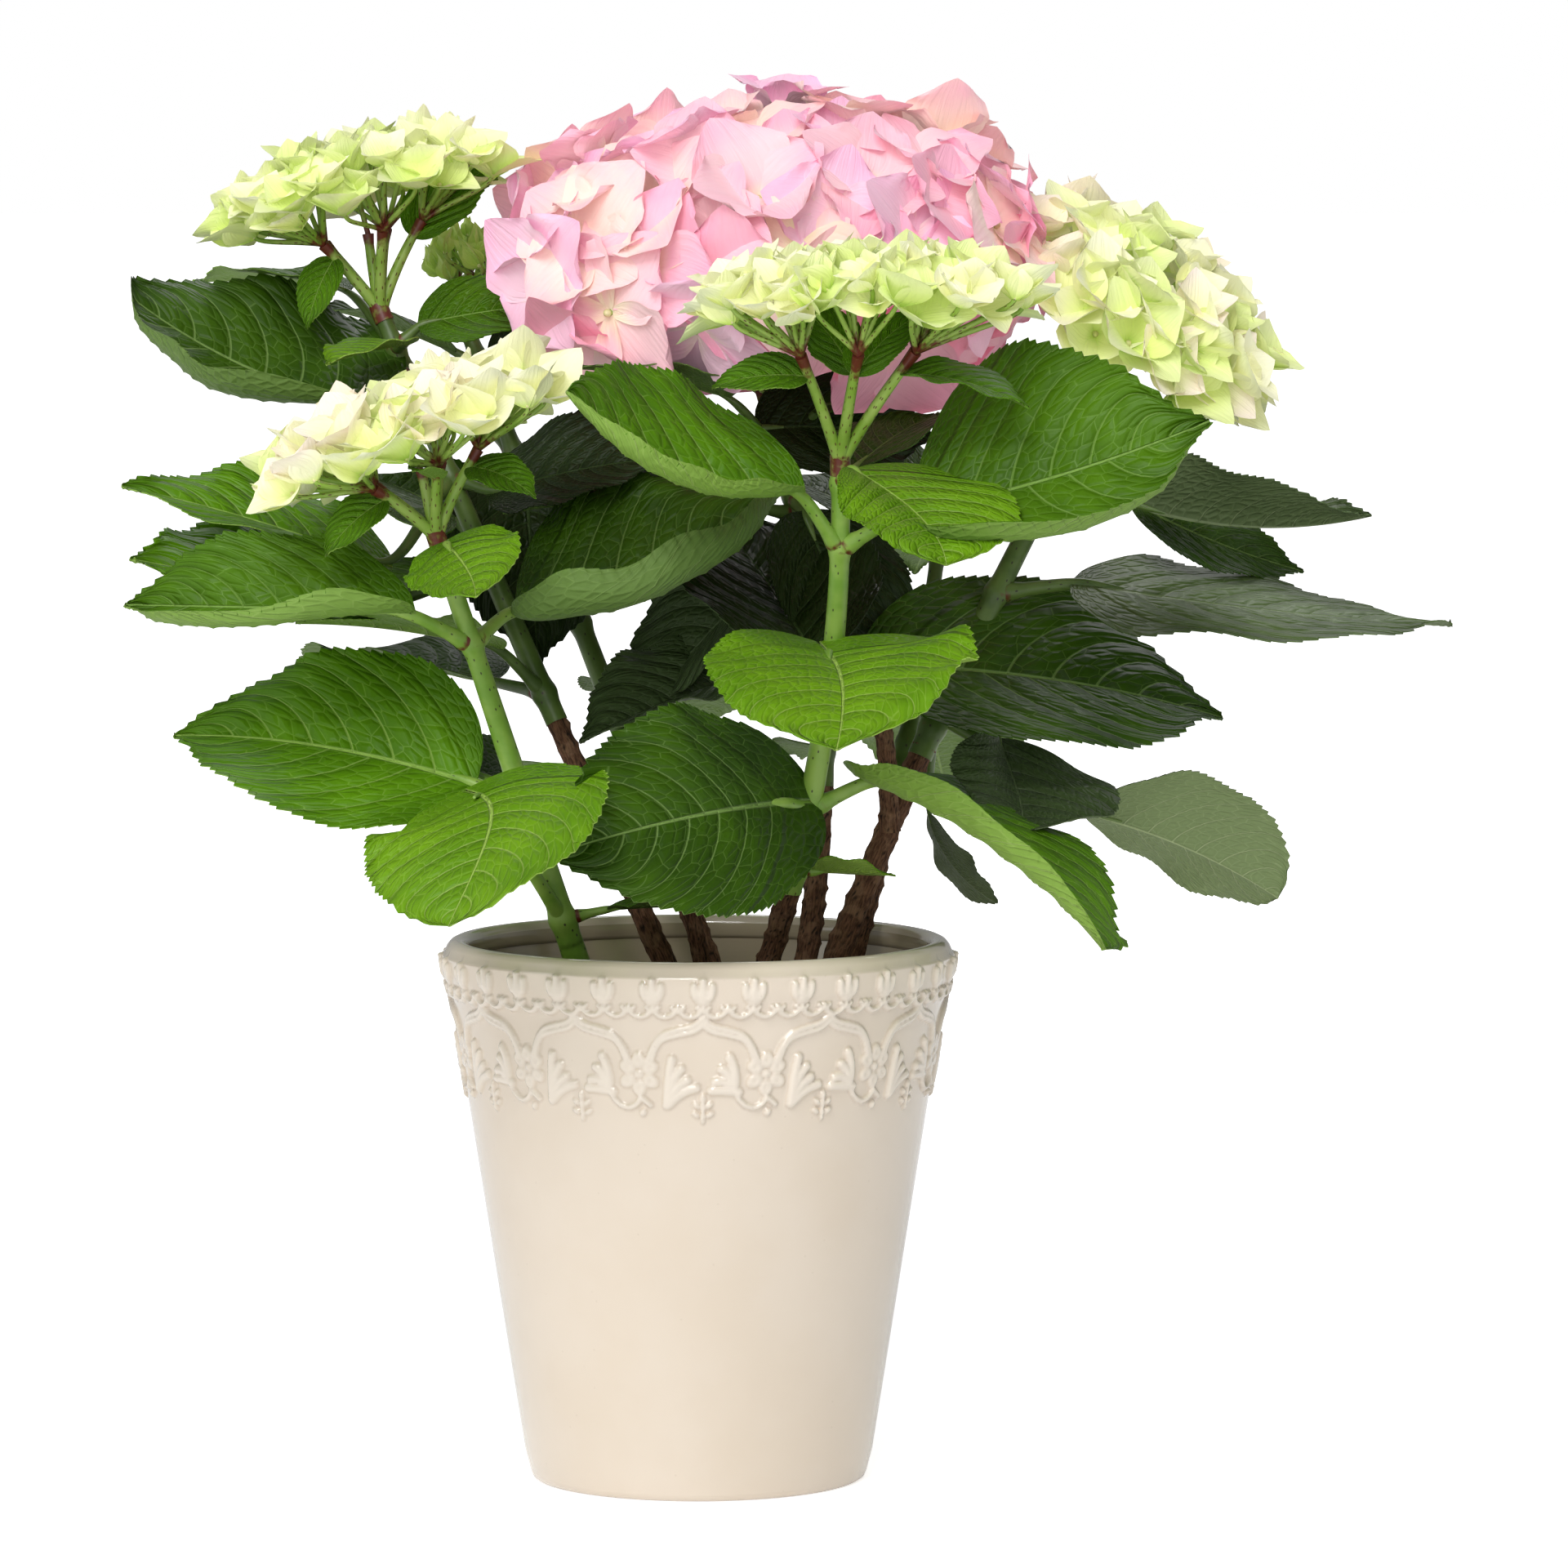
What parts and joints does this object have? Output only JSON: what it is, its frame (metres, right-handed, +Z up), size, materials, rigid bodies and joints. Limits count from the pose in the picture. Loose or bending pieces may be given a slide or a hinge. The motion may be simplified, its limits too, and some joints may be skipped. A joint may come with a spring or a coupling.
{
  "type": "potted hydrangea shrub",
  "caption": "Bigleaf hydrangea shrub in a tapered glazed pot, with leafy canes, a large pink mophead and smaller cream-green heads.",
  "frame": {"origin": "centre of the pot's flat underside, at the surface it stands on", "axes": "+Z up; -Y is the front of the plant, +X its right side seen from the front"},
  "size_m": [0.4195, 0.341, 0.4427],
  "materials": {
    "glaze": "warm beige glaze, glossy, over raised ornament",
    "soil": "moist potting soil, matt crumbs",
    "wood": "rough brown bark with rings at the joints",
    "green_stem": "smooth green stem with dark speckles",
    "leaf": "glossy quilted leaf, paler and matt underneath",
    "cream_bloom": "matt cream-green petals with faint pink edges",
    "pink_bloom": "matt soft pink petals with cream patches"
  },
  "bodies": {
    "root": {"pot": "glaze", "soil": "soil", "cane_stub": "wood", "cane_front_left": "green_stem", "cane_front_centre": "wood", "cane_right": "wood", "cane_middle": "wood", "cane_back_left": "wood", "cane_back": "wood", "cane_back_right": "wood", "shoot_front_left": "leaf", "shoot_front_centre": "leaf", "shoot_right": "leaf", "shoot_middle": "leaf", "shoot_back_left": "leaf", "shoot_back": "leaf", "shoot_back_right": "leaf", "bloom_front_left": "cream_bloom", "bloom_front_centre": "cream_bloom", "bloom_right": "cream_bloom", "bloom_back_left": "cream_bloom", "bloom_back": "cream_bloom", "bloom_middle": "pink_bloom"}
  },
  "joints": []
}
